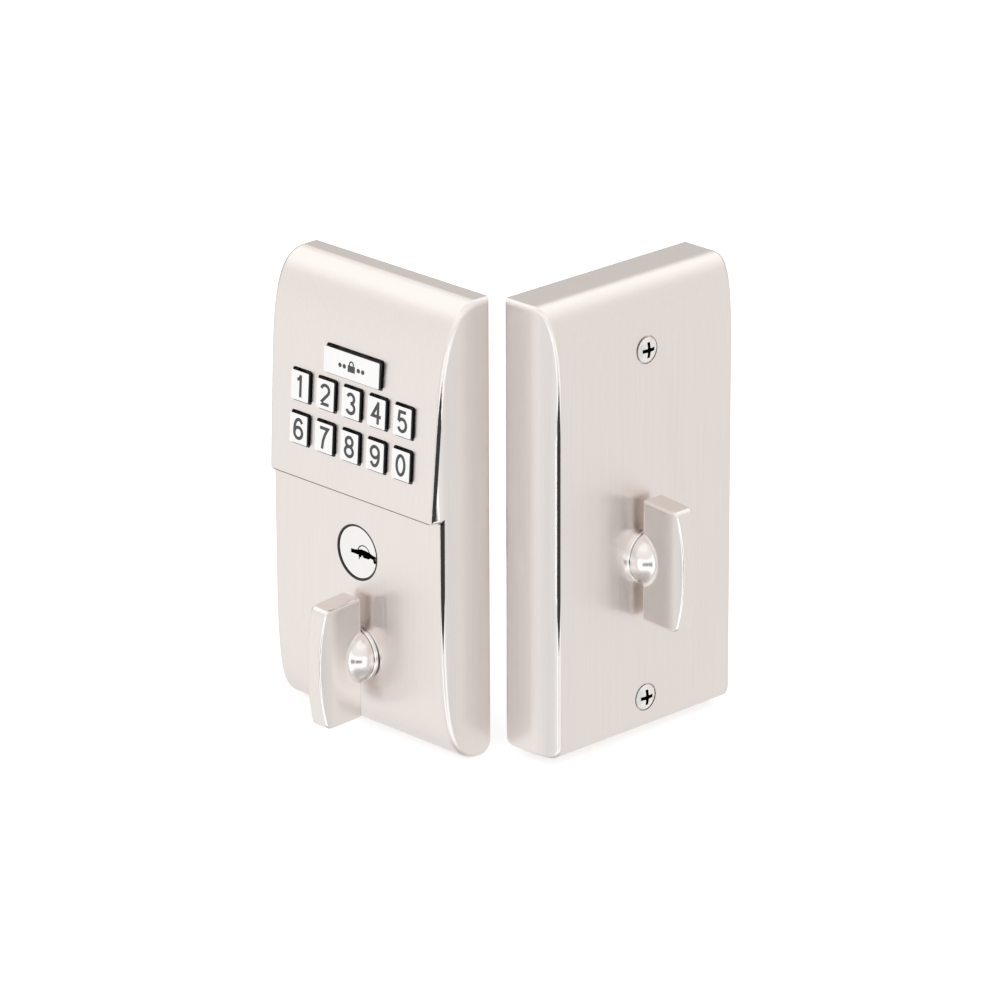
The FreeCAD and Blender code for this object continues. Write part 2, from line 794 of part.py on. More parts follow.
def exterior_gasket():
    outer = plate_blank(ext_plate_width, ext_plate_low, ext_plate_high, 0, gasket_thick)
    inner = plate_blank(ext_plate_width - 2 * gasket_width, ext_plate_low + gasket_width,
                        ext_plate_high - gasket_width, -1, gasket_thick + 1)
    return outer.cut(inner)


def back_plate_screws():
    return [screw(x, z, 2.6, 0.05, plate_back, plate_screw_radius, plate_front + 6.5)
            for x, z in plate_screw_places()]


def mounting_posts():
    posts = []
    for x in post_places():
        post = fused([disc(post_radius, plate_back - post_length, plate_back, x),
                      disc(post_radius - 1, plate_back, plate_front, x)])
        posts.append(post.cut(disc(post_bore_radius, plate_back - post_length - 1, plate_back, x)))
    return posts


# ---------------------------------------------------------------- interior half

def on_inside(shape):
    """Stand a shape drawn in the local frame of a half where the interior half stands."""
    turned = shape.rotated(ORIGIN, Z_AXIS, 90)
    return turned.translated(V(ext_width / 2 + half_gap, half_gap + int_width / 2, 0))


def interior_outline(inset=0.0):
    """Closed outline; with an inset it is the cavity, which runs out through the back."""
    roof = int_top - inset
    front = int_depth - inset
    curve_z = int_top - int_top_curve
    curved_top = [
        line(point(-2 if inset else 0, roof), point(int_top_land - inset / 2, roof)),
        curve(point(int_top_land - inset / 2, roof), point(front - 3.5, roof),
              point(front - 0.4, roof - 6), point(front, curve_z)),
    ]
    if inset:
        floor = int_bottom + int_bottom_lip
        return curved_top + [
            line(point(front, curve_z), point(front, floor)),
            line(point(front, floor), point(-2, floor)),
            line(point(-2, floor), point(-2, roof)),
        ]
    back_r = int_bottom_back_radius
    front_r = int_bottom_front_radius
    return curved_top + [
        line(point(front, curve_z), point(front, int_bottom + front_r)),
        corner_arc(point(front - front_r, int_bottom + front_r), front_r, 0, -90),
        line(point(front - front_r, int_bottom), point(back_r, int_bottom)),
        corner_arc(point(back_r, int_bottom + back_r), back_r, 270, 180),
        line(point(0, int_bottom + back_r), point(0, roof)),
    ]


def interior_cover():
    plan = plan_view(int_width, int_side_straight, int_side_radius, int_depth + 1, int_bottom, int_top)
    outer = plan.common(side_view(interior_outline(), int_width))
    outer = outer.makeFillet(int_edge_radius, front_side_edges(outer, int_width, int_side_straight))
    cavity = plan_view(int_width, int_side_straight, int_side_radius, int_depth + 0.5,
                       int_bottom, int_top, int_wall)
    cavity = cavity.common(side_view(interior_outline(int_wall), int_width))
    holes = [disc(shaft_radius + 1.0, int_inner - 1, int_depth + 1)]
    for z in (cover_screw_high, cover_screw_low):
        holes.append(disc(screw_head_radius + screw_head_gap, int_depth - screw_head_thick,
                          int_depth + 1, 0, z))
        holes.append(disc(screw_shank_radius + 0.35, int_inner - 1, int_depth + 1, 0, z))
    return outer.cut(Part.makeCompound([cavity] + holes))


def cover_screw(z):
    seat = int_depth - screw_head_thick
    rim = int_depth
    head = disc(screw_head_radius, seat, rim, 0, z)
    dome_radius_of = (screw_head_radius ** 2 + screw_dome ** 2) / (2 * screw_dome)
    ball = Part.makeSphere(dome_radius_of, V(0, -(rim + screw_dome - dome_radius_of), z))
    cap = ball.common(disc(screw_head_radius, rim, rim + 2, 0, z))
    shank = disc(screw_shank_radius, int_inner - 12, seat, 0, z)
    arms = [disc(0.95, rim - 1.1, rim + 2, 0, z)]
    for angle in (0, 90):
        arm = slab(-cross_arm, cross_arm, z - cross_width / 2, z + cross_width / 2, rim - 0.9, rim + 2)
        arms.append(arm.rotated(V(0, 0, z), V(0, 1, 0), angle))
    return fused([head, cap, shank]).cut(Part.makeCompound(arms))


def cover_posts():
    posts = []
    for z in (cover_screw_high, cover_screw_low):
        post = disc(cover_post_radius, plate_thick, int_inner - cover_post_gap, 0, z)
        posts.append(post.cut(disc(screw_shank_radius + thread_clearance, int_inner - 13,
                                   int_inner + 1, 0, z)))
    return posts


int_plate_width = int_width - 2 * int_wall - 2 * plate_clearance
int_plate_low = int_bottom + int_bottom_lip + plate_clearance
int_plate_high = int_top - int_wall - plate_clearance


def board_screw_places():
    left, right, low, high = control_board
    return [(x, z) for x in (left + 3, right - 3) for z in (low + 3, high - 3)]


def interior_back_plate():
    plate = plate_blank(int_plate_width, int_plate_low, int_plate_high, 0, plate_thick)
    studs = [disc(2.2, plate_thick / 2, control_board_depth, x, z) for x, z in board_screw_places()]
    holes = [disc(tail_radius + 2.5, -1, plate_thick + 1), port(-1, plate_thick + 1)]
    holes += [disc(bolt_hole_radius, -1, plate_thick + 1, x) for x in post_places()]
    holes += [disc(1.05, plate_thick, control_board_depth + 1, x, z) for x, z in board_screw_places()]
    return fused([plate] + studs).cut(Part.makeCompound(holes))


def interior_turn_shaft():
    return disc(shaft_radius, hub_depths[1] - 4, int_depth + collar_height + neck_gap)


def interior_hub():
    """Hub on the shaft with the slot that the tailpiece enters from behind."""
    back, front = hub_depths
    body = disc(hub_radius, back, front).cut(disc(shaft_radius + 0.03, front - 4, front + 1))
    flat = slab(-hub_radius, hub_radius, -hub_radius - 1, -hub_radius + hub_flat, back - 1, front + 1)
    slot = slab(-tailpiece_width / 2 - 0.4, tailpiece_width / 2 + 0.4,
                -tailpiece_thick / 2 - 0.4, tailpiece_thick / 2 + 0.4, back - 1, front - 4.5)
    return body.cut(Part.makeCompound([slot, flat]))


def hub_bushing():
    return ring(bushing_radius, shaft_radius + shaft_clearance, int_inner - bushing_length, int_inner)


def shaft_ring(front, gap, z=0.0):
    """Retaining ring on a thumbturn shaft, just behind what keeps the shaft in place."""
    return ring(shaft_radius + 2.0, shaft_radius + 0.03, front - gap - ring_thick, front - gap, 0, z)


def detent_spring():
    """Strip beside the hub that stands on the back plate at both ends."""
    thick = 0.5
    top = -hub_radius - detent_gap
    strip = slab(-12, 12, top - thick, top, 4, 9)
    legs = [slab(-12, -12 + thick, top - thick - 3, top - thick / 2, plate_thick, 9),
            slab(12 - thick, 12, top - thick - 3, top - thick / 2, plate_thick, 9)]
    return fused([strip] + legs)


def battery_block():
    width, depth, height = battery
    back = plate_thick + 0.1
    return rounded_slab(width, height, battery_corner, back, back + depth,
                        battery_left + width / 2, battery_bottom + height / 2)


def battery_tray():
    width, _, height = battery
    centre_x = battery_left + width / 2
    centre_z = battery_bottom + height / 2
    gap = 0.2
    outer = rounded_slab(width + 2 * (gap + tray_wall), height + 2 * (gap + tray_wall),
                         battery_corner + gap + tray_wall, plate_thick, 9, centre_x, centre_z)
    inner = rounded_slab(width + 2 * gap, height + 2 * gap, battery_corner + gap,
                         plate_thick - 1, 10, centre_x, centre_z)
    return outer.cut(inner)


def battery_snap():
    width, _, height = battery
    top = battery_bottom + height
    return slab(battery_left + 3, battery_left + width - 3, top + 0.1, top + 3.6, 9.5, 17.5)


def control_board_sheet():
    left, right, low, high = control_board
    board = slab(left, right, low, high, control_board_depth, control_board_depth + 1.6)
    holes = [disc(1.25, control_board_depth - 1, control_board_depth + 3, x, z)
             for x, z in board_screw_places()]
    return board.cut(Part.makeCompound(holes))


def control_connector():
    face = control_board_depth + 1.6
    return slab(-22, -12, 20, 26, face, face + 5.5)


def control_chips():
    face = control_board_depth + 1.6
    return [slab(-28, -18, 34, 44, face, face + 1.8), slab(-16, -12, 46, 52, face, face + 3.0)]


def control_screws():
    face = control_board_depth + 1.6
    return [screw(x, z, 2.0, face, face + 1.3, 1.0, plate_thick + 0.6) for x, z in board_screw_places()]


# ---------------------------------------------------------------- nodes

def build_exterior():
    export("exterior_housing", exterior_housing())
    export("exterior_back_plate", exterior_back_plate())
    export("exterior_gasket", exterior_gasket())
    export("back_plate_screws", *back_plate_screws())
    export("mounting_posts", *mounting_posts())
    for name, x, up, width, height, proud in key_positions():
        export(name, key(x, up, width, height, proud))
    export("keypad_membrane", keypad_membrane())
    export("keypad_board", on_panel(keypad_sheet(board_front, board_thick)))
    export("keypad_clamp", keypad_clamp())
    export("keypad_screws", *keypad_screws())
    export("keypad_chip", keypad_chips())
    export("keypad_connector", keypad_connector())
    export("cylinder_shell", cylinder_shell())
    export("cylinder_plug", plug())
    export("cylinder_trim", cylinder_trim())
    export("key_pins", *key_pins())
    export("driver_pins", *driver_pins())
    export("pin_springs", *pin_springs())
    export("cylinder_clip", cylinder_clip())
    export("cylinder_screws", *cylinder_screws())
    export("hub_gear", hub_gear())
    export("tailpiece", tailpiece())
    export("transfer_gear", transfer_gear())
    export("exterior_thumbturn", thumbturn(low_depth, turn_z))
    export("exterior_turn_shaft", exterior_turn_shaft())
    export("exterior_turn_collar", collar(low_depth, turn_z))
    export("exterior_turn_ring", shaft_ring(low_inner, ext_ring_gap, turn_z))
    export("clutch_drum", clutch_drum())
    export("solenoid_frame", solenoid_frame())
    export("solenoid_coil", solenoid_coil())
    export("solenoid_plunger", solenoid_plunger())
    export("plunger_spring", plunger_spring())


def build_interior():
    nodes = {
        "interior_cover": [interior_cover()],
        "interior_back_plate": [interior_back_plate()],
        "cover_screws": [cover_screw(cover_screw_high), cover_screw(cover_screw_low)],
        "cover_posts": cover_posts(),
        "interior_thumbturn": [thumbturn(int_depth)],
        "interior_turn_shaft": [interior_turn_shaft()],
        "interior_turn_collar": [collar(int_depth)],
        "interior_hub": [interior_hub()],
        "hub_bushing": [hub_bushing()],
        "interior_turn_ring": [shaft_ring(int_inner - bushing_length, ring_gap)],
        "detent_spring": [detent_spring()],
        "battery": [battery_block()],
        "battery_tray": [battery_tray()],
        "battery_snap": [battery_snap()],
        "control_board": [control_board_sheet()],
        "control_chips": control_chips(),
        "control_connector": [control_connector()],
        "control_screws": control_screws(),
    }
    for name, shapes in nodes.items():
        export(name, *[on_inside(shape) for shape in shapes])


os.makedirs("parts", exist_ok=True)
build_exterior()
build_interior()
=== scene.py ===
import json
import math

import bmesh
import bpy
from mathutils import Matrix, Vector
from mathutils.geometry import delaunay_2d_cdt


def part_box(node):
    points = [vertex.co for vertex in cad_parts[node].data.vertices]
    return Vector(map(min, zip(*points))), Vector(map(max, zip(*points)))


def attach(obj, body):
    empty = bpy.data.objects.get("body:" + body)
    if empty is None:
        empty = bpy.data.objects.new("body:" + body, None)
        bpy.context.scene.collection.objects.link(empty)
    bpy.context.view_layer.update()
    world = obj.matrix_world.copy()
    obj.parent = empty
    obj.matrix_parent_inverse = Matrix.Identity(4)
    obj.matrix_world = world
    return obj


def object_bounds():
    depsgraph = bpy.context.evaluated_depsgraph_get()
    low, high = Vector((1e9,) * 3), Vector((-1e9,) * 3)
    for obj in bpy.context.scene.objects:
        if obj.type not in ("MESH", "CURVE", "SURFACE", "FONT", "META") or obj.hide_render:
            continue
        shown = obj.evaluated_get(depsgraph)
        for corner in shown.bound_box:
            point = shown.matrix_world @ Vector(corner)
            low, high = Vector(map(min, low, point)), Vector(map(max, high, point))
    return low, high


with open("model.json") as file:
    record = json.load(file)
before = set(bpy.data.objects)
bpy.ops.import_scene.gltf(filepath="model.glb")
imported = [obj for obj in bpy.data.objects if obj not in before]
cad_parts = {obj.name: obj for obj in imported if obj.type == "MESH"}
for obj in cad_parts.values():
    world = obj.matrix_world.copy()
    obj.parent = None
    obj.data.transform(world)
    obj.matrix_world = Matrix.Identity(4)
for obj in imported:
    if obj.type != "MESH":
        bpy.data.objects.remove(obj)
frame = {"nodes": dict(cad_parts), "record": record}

# Looks for the keypad lock. Metres, in the frame of the part: the origin on the bolt axis in the
# back plane of the exterior half, whose front looks along -Y; the interior half's looks along +X.

cad_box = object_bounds()
nodes = frame["nodes"]
MM = 0.001

PANEL_SLANT = math.radians(3.5)
PANEL_OUT = Vector((0, -math.cos(PANEL_SLANT), math.sin(PANEL_SLANT)))
PANEL_UP = Vector((0, math.sin(PANEL_SLANT), math.cos(PANEL_SLANT)))
ACROSS = Vector((1, 0, 0))

CAMERA_AZIMUTH = math.radians(46.0)
CAMERA_ELEVATION = math.radians(20.4)
CAMERA_ROLL = math.radians(-0.19)
CAMERA_DISTANCE = 1963.7 * MM
CAMERA_TARGET = Vector((40.52, 1.78, 22.05)) * MM
CAMERA_LENS = 235.56        # on a 36 mm sensor

STEP_HEIGHT = 18.8 * MM     # lower rim of the keypad panel
RIM_SHADOW_DEPTH = 3.4 * MM       # how far the painted shadow under that rim reaches back from the front
BUFFED_LOW = -16 * MM       # heights between which the housings' upright edges are buffed
BUFFED_HIGH = 57 * MM
BUFFED_FADE = 26 * MM
KEYWAY_LEFT = -5.5 * MM     # what lies behind the cylinder's face between these is painted dark as shade
KEYWAY_RIGHT = 6.5 * MM
KEYWAY_HALF_HEIGHT = 4.2 * MM
CYLINDER_BORE = 6.3 * MM    # radius in the shell within which the bore is painted dark as shade
BATTERY_BAND = 52 * MM      # height where the battery's lighter band starts
SCREW_FALL = 0.17           # a cover screw's head falls away by this share of the radius
SCREW_RECESS = 2.9 * MM     # radius that holds a cover screw's cross
INK_THICK = 0.03 * MM       # the marks stand out of a key's face by this, and reach as far into it

# heights from straight below, 0, to straight above, 1, and the studio tent's brightness there
TENT_BEFORE = ((0.0, 0.6), (0.06, 0.65), (0.16, 1.06), (0.72, 1.04), (0.80, 1.2), (0.88, 1.2), (1.0, 1.0))
TENT_BEHIND = ((0.0, 0.72), (0.15, 1.0), (0.45, 0.9), (0.56, (0.42, 0.40, 0.38)),
               (0.71, (0.46, 0.44, 0.42)), (0.79, 1.4), (0.85, 1.4), (0.93, 1.0), (1.0, 1.0))
TENT_AHEAD = (0.80, 0.83, 0.85)
TENT_RING = (1.75, 1.80, 1.83)
TENT_RIGHT = (0.80, 0.78, 0.76)

SATIN_NICKEL = (0.86, 0.80, 0.765)
TURN_NICKEL = (0.84, 0.785, 0.75)
POLISHED_NICKEL = (0.90, 0.88, 0.86)
BRASS = (0.74, 0.56, 0.26)
# painted shade: the four colours below stand in for the shadow under the panel's rim, the shade in the
# shell's bore, in the keyway and screw recesses, and on the keys' sides
RIM_SHADOW_BROWN = (0.10, 0.075, 0.06)
BORE_SHADE = (0.015, 0.013, 0.01)
RECESS_SHADE = (0.012, 0.011, 0.01)
KEY_SIDE_SHADE = (0.008, 0.008, 0.009)
BATTERY_BLACK = (0.02, 0.022, 0.026)
INK_GREY = (0.05, 0.05, 0.053)

# outlines on the keys, in millimetres about the middle of a key's face
DIGIT_STROKE = 1.02         # width of a stroke
DIGIT_REACH_X = 1.72        # middle of the strokes, from the centre
DIGIT_REACH_Y = 3.0


# ---------------------------------------------------------------- camera, light, floor

def add_camera():
    across = Vector((math.cos(CAMERA_AZIMUTH), math.sin(CAMERA_AZIMUTH), 0))
    towards = Vector((math.sin(CAMERA_AZIMUTH) * math.cos(CAMERA_ELEVATION),
                      -math.cos(CAMERA_AZIMUTH) * math.cos(CAMERA_ELEVATION),
                      math.sin(CAMERA_ELEVATION)))
    up = towards.cross(across)
    right = across * math.cos(CAMERA_ROLL) + up * math.sin(CAMERA_ROLL)
    top = towards.cross(right)
    data = bpy.data.cameras.new("camera")
    data.lens = CAMERA_LENS
    data.sensor_width = 36.0
    data.clip_end = 20.0
    camera = bpy.data.objects.new("camera", data)
    rotation = Matrix((right, top, towards)).transposed().to_4x4()
    camera.matrix_world = Matrix.Translation(CAMERA_TARGET + towards * CAMERA_DISTANCE) @ rotation
    bpy.context.scene.collection.objects.link(camera)
    bpy.context.scene.camera = camera


def feed(tree, socket, value):
    """Link another node's output to a socket, or set a constant there."""
    if isinstance(value, bpy.types.NodeSocket):
        tree.links.new(value, socket)
    else:
        socket.default_value = value


def node(tree, kind, **inputs):
    """New node; keyword names are its input names with _ for a space, or i0, i1 for a number."""
    made = tree.nodes.new(kind)
    for key, value in inputs.items():
        numbered = key[0] == "i" and key[1:].isdigit()
        feed(tree, made.inputs[int(key[1:]) if numbered else key.replace("_", " ")], value)
    return made


def math_node(tree, operation, *values):
    made = tree.nodes.new("ShaderNodeMath")
    made.operation = operation
    for socket, value in zip(made.inputs, values):
        feed(tree, socket, value)
    return made.outputs[0]


def plus(tree, first, second):
    return math_node(tree, "ADD", first, second)


def minus(tree, first, second):
    return math_node(tree, "SUBTRACT", first, second)


def times(tree, first, second):
    return math_node(tree, "MULTIPLY", first, second)


def distance(tree, first, second):
    """How far a point with these two coordinates is from the origin."""
    return math_node(tree, "SQRT", plus(tree, times(tree, first, first), times(tree, second, second)))


def smooth_between(tree, value, low, high):
    """0 below low, 1 above high, smooth in between."""
    made = node(tree, "ShaderNodeMapRange", Value=value, From_Min=low, From_Max=high)
    made.interpolation_type = "SMOOTHSTEP"
    return made.outputs["Result"]


def from_noise(tree, value, low, high):
    """A noise value, most of which lies about its middle, spread from low to high."""
    return node(tree, "ShaderNodeMapRange", Value=value, From_Min=0.3, From_Max=0.7,
                To_Min=low, To_Max=high).outputs["Result"]


def ramp(tree, value, stops):
    """Colours, or brightnesses, at places from 0 to 1."""
    made = tree.nodes.new("ShaderNodeValToRGB")
    tree.links.new(value, made.inputs[0])
    elements = made.color_ramp.elements
    while len(elements) < len(stops):
        elements.new(0.5)
    for element, (place, color) in zip(elements, stops):
        element.position = place
        element.color = (*color, 1) if isinstance(color, tuple) else (color, color, color, 1)
    return made.outputs[0]


def window(tree, value, low, high, soft):
    """1 between low and high, 0 outside, with edges as wide as soft."""
    rise = smooth_between(tree, value, low - soft / 2, low + soft / 2)
    fall = smooth_between(tree, value, high - soft / 2, high + soft / 2)
    return times(tree, rise, minus(tree, 1.0, fall))


def mix_color(tree, factor, first, second):
    """The first colour where factor is 0, the second where it is 1."""
    made = node(tree, "ShaderNodeMix")
    made.data_type = "RGBA"
    factor_socket, first_socket, second_socket = made.inputs[0], made.inputs[6], made.inputs[7]
    feed(tree, factor_socket, factor)
    for socket, color in ((first_socket, first), (second_socket, second)):
        feed(tree, socket, (*color, 1) if isinstance(color, tuple) else color)
    return made.outputs[2]


def add_world():
    """Studio tent: white all round with a bright band above, dimmer low behind, straight below and
    to the right, cooler in front, where a bright ring has a small dark opening."""
    world = bpy.data.worlds.new("studio")
    bpy.context.scene.world = world
    world.use_nodes = True
    tree = world.node_tree
    background = tree.nodes["Background"]
    direction = node(tree, "ShaderNodeTexCoord").outputs["Generated"]
    x, y, z = node(tree, "ShaderNodeSeparateXYZ", Vector=direction).outputs
    front_x, front_y = math.sin(CAMERA_AZIMUTH), -math.cos(CAMERA_AZIMUTH)
    level = math_node(tree, "SQRT", minus(tree, 1.0001, times(tree, z, z)))
    facing = math_node(tree, "DIVIDE", plus(tree, times(tree, x, front_x), times(tree, y, front_y)), level)
    right = plus(tree, times(tree, x, -front_y), times(tree, y, front_x))
    height = plus(tree, times(tree, z, 0.5), 0.5)

    behind = smooth_between(tree, times(tree, facing, -1.0), -0.1, 0.75)
    tent = mix_color(tree, behind, ramp(tree, height, TENT_BEFORE), ramp(tree, height, TENT_BEHIND))
    ahead = times(tree, smooth_between(tree, facing, 0.2, 0.6), window(tree, z, -0.75, 0.1, 0.3))
    tent = mix_color(tree, ahead, tent, TENT_AHEAD)
    ring = times(tree, smooth_between(tree, facing, 0.72, 0.86), window(tree, z, -0.70, 0.0, 0.15))
    tent = mix_color(tree, ring, tent, TENT_RING)
    tent = mix_color(tree, times(tree, smooth_between(tree, right, 0.3, 0.9), 0.45), tent, TENT_RIGHT)
    opening = times(tree, smooth_between(tree, facing, 0.94, 0.96), window(tree, z, -0.46, -0.22, 0.06))
    tree.links.new(tent, background.inputs["Color"])
    tree.links.new(minus(tree, 1.0, times(tree, opening, 0.97)), background.inputs["Strength"])


def add_floor():
    low = cad_box[0][2] - 0.4 * MM
    half = 3.0
    mesh = bpy.data.meshes.new("floor")
    mesh.from_pydata([(-half, -half, low), (half, -half, low), (half, half, low), (-half, half, low)],
                     [], [(0, 1, 2, 3)])
    floor = bpy.data.objects.new("floor", mesh)
    bpy.context.scene.collection.objects.link(floor)
    paint = bpy.data.materials.new("floor_white")
    paint.use_nodes = True
    shader = paint.node_tree.nodes["Principled BSDF"]
    shader.inputs["Base Color"].default_value = (0.92, 0.92, 0.92, 1)
    shader.inputs["Roughness"].default_value = 0.9
    shader.inputs["Specular IOR Level"].default_value = 0.1
    shader.inputs["Emission Color"].default_value = (1, 1, 1, 1)
    shader.inputs["Emission Strength"].default_value = 0.45
    mesh.materials.append(paint)
    floor.visible_glossy = False


# ---------------------------------------------------------------- materials

def new_material(name, color, roughness, metallic=0.0, **constants):
    """A material, its node tree and its shader; constants are more of the shader's inputs."""
    made = bpy.data.materials.new(name)
    made.use_nodes = True
    shader = made.node_tree.nodes["Principled BSDF"]
    shader.inputs["Base Color"].default_value = (*color, 1)
    shader.inputs["Roughness"].default_value = roughness
    shader.inputs["Metallic"].default_value = metallic
    for key, value in constants.items():
        shader.inputs[key.replace("_", " ")].default_value = value
    return made, made.node_tree, shader


def grain(tree, scale, detail=3.0, roughness=0.6):
    """Noise in the part's own metres, stretched as scale says, from 0 to 1."""
    place = node(tree, "ShaderNodeTexCoord").outputs["Object"]
    mapped = node(tree, "ShaderNodeMapping", Vector=place, Scale=scale)
    noise = node(tree, "ShaderNodeTexNoise", Vector=mapped.outputs[0], Scale=1.0,
                 Detail=detail, Roughness=roughness)
    return noise.outputs["Fac"]


def tint(tree, shader, value, color, low, high):
    """Base colour from color times low to color times high, by value."""
    dark = tuple(min(c * low, 1) for c in color)
    bright = tuple(min(c * high, 1) for c in color)
    tree.links.new(ramp(tree, value, [(0.3, dark), (0.7, bright)]), shader.inputs["Base Color"])


def rough(tree, shader, value, low, high):
    tree.links.new(from_noise(tree, value, low, high), shader.inputs["Roughness"])


def bump(tree, shader, value, depth, strength=1.0):
    made = node(tree, "ShaderNodeBump", Height=value, Strength=strength, Distance=depth)
    tree.links.new(made.outputs[0], shader.inputs["Normal"])


def paint_shade_over(tree, shader, amount, color):
    """Lay another colour over the base colour, by amount: painted shade, wherever it is used."""
    base = shader.inputs["Base Color"].links[0].from_socket
    tree.links.new(mix_color(tree, amount, base, color), shader.inputs["Base Color"])


def metal(name, color, roughness, scale, depth, spread=0.05, strength=1.0):
    """Metal whose colour, gloss and relief follow one noise, stretched as scale says."""
    made, tree, shader = new_material(name, color, roughness, 1.0)
    lines = grain(tree, scale)
    tint(tree, shader, lines, color, 1 - spread, 1 + spread / 3)
    rough(tree, shader, lines, roughness - 0.05, roughness + 0.05)
    bump(tree, shader, lines, depth, strength)
    return made


def polished(name, scale=(1500, 1500, 300)):
    return metal(name, POLISHED_NICKEL, 0.16, scale, 0.002 * MM, 0.03, 0.4)


def object_place(tree):
    """The three coordinates of a point in the part's own metres."""
    place = node(tree, "ShaderNodeTexCoord").outputs["Object"]
    return node(tree, "ShaderNodeSeparateXYZ", Vector=place).outputs


def brushing(tree, shader, color, low, high):
    """Fine vertical brushing: sets its colour, and returns its lines and its roughness."""
    lines = grain(tree, (2600, 2600, 22), 4.0, 0.65)
    broad = grain(tree, (40, 40, 12), 2.0)
    tint(tree, shader, plus(tree, times(tree, lines, 0.8), times(tree, broad, 0.2)), color, 0.95, 1.02)
    return lines, from_noise(tree, lines, low, high)


def buffed_edge(tree):
    """Where the upright rounded edges are buffed: widest near the middle, running out up and down.
    Returns that as 0 to 1, and the surface's normal, flattened there as on a narrow bevel."""
    normal = node(tree, "ShaderNodeNewGeometry").outputs["Normal"]
    nx, ny, nz = node(tree, "ShaderNodeSeparateXYZ", Vector=normal).outputs
    z = object_place(tree)[2]
    lesser = math_node(tree, "MINIMUM", math_node(tree, "ABSOLUTE", nx), math_node(tree, "ABSOLUTE", ny))
    full = window(tree, z, BUFFED_LOW, BUFFED_HIGH, BUFFED_FADE)
    reach = minus(tree, lesser, times(tree, minus(tree, 1.0, full), 0.36))
    edge = smooth_between(tree, reach, 0.37, 0.42)
    bevel = node(tree, "ShaderNodeCombineXYZ", X=math_node(tree, "SIGN", nx), Y=math_node(tree, "SIGN", ny))
    pull = node(tree, "ShaderNodeVectorMath", i0=bevel.outputs[0])
    pull.operation = "SCALE"
    tree.links.new(times(tree, edge, 2.5), pull.inputs["Scale"])
    total = node(tree, "ShaderNodeVectorMath", i0=normal, i1=pull.outputs[0])
    unit = node(tree, "ShaderNodeVectorMath", i0=total.outputs[0])
    unit.operation = "NORMALIZE"
    return edge, unit.outputs[0]


def satin_nickel():
    """Vertical brushing on the housings' faces, and a thin dark painted shadow line under the keypad
    panel's rim.
    """
    made, tree, shader = new_material("satin_nickel", SATIN_NICKEL, 0.35, 1.0)
    lines, brushed = brushing(tree, shader, SATIN_NICKEL, 0.30, 0.39)
    edge, normal = buffed_edge(tree)
    mixed = node(tree, "ShaderNodeMix", Factor=edge, A=brushed, B=0.07)
    tree.links.new(mixed.outputs[0], shader.inputs["Roughness"])
    bent = node(tree, "ShaderNodeBump", Height=lines, Strength=0.6, Distance=0.004 * MM, Normal=normal)
    tree.links.new(bent.outputs[0], shader.inputs["Normal"])
    _, y, z = object_place(tree)
    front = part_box("exterior_housing")[0][1]
    under_rim = window(tree, z, STEP_HEIGHT - 0.1 * MM, STEP_HEIGHT + 0.25 * MM, 0.08 * MM)
    rim_shadow = times(tree, under_rim, math_node(tree, "LESS_THAN", y, front + RIM_SHADOW_DEPTH))
    # painted shadow: a thin brown-black line under the keypad panel's overhang
    paint_shade_over(tree, shader, rim_shadow, RIM_SHADOW_BROWN)
    return made


def turn_nickel():
    """The thumbturns: the same plating, buffed a little finer."""
    made, tree, shader = new_material("turn_nickel", TURN_NICKEL, 0.24, 1.0)
    lines, brushed = brushing(tree, shader, TURN_NICKEL, 0.20, 0.27)
    tree.links.new(brushed, shader.inputs["Roughness"])
    bump(tree, shader, lines, 0.003 * MM, 0.5)
    return made


def cylinder_face():
    """Polished face; the keyway's inside is painted dark as shade."""
    made = polished("cylinder_face")
    tree = made.node_tree
    x, y, z = object_place(tree)
    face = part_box("cylinder_plug")[0][1]
    keyway = times(tree, window(tree, x, KEYWAY_LEFT, KEYWAY_RIGHT, 0.1 * MM),
                   window(tree, z, -KEYWAY_HALF_HEIGHT, KEYWAY_HALF_HEIGHT, 0.1 * MM))
    shaded_recess = times(tree, keyway, smooth_between(tree, y, face + 0.08 * MM, face + 0.2 * MM))
    # painted shade inside the keyway
    paint_shade_over(tree, tree.nodes["Principled BSDF"], shaded_recess, RECESS_SHADE)
    return made


def shaded_bore_brass():
    """The cylinder's shell, its bore painted dark as shade."""
    made = metal("shaded_bore_brass", BRASS, 0.3, (700, 1600, 700), 0.004 * MM, 0.07, 0.5)
    tree = made.node_tree
    x, _, z = object_place(tree)
    bore = math_node(tree, "LESS_THAN", distance(tree, x, z), CYLINDER_BORE)
    # painted shade in the shell's bore
    paint_shade_over(tree, tree.nodes["Principled BSDF"], bore, BORE_SHADE)
    return made


def screw_nickel():
    """Polished oval heads; the cross recess is painted dark as shade."""
    made = polished("screw_nickel", (1500, 1500, 1500))
    tree = made.node_tree
    x, y, z = object_place(tree)
    low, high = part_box("cover_screws")
    radius = (high[1] - low[1]) / 2
    across = minus(tree, y, (low[1] + high[1]) / 2)
    from_lower = math_node(tree, "ABSOLUTE", minus(tree, z, low[2] + radius))
    from_upper = math_node(tree, "ABSOLUTE", minus(tree, z, high[2] - radius))
    away = distance(tree, across, math_node(tree, "MINIMUM", from_lower, from_upper))
    drop = plus(tree, minus(tree, high[0], x), times(tree, away, -SCREW_FALL))
    shaded_recess = times(tree, math_node(tree, "LESS_THAN", away, SCREW_RECESS),
                 smooth_between(tree, drop, 0.08 * MM, 0.2 * MM))
    # painted shade in the cross recesses of the screw heads
    paint_shade_over(tree, tree.nodes["Principled BSDF"], shaded_recess, RECESS_SHADE)
    return made


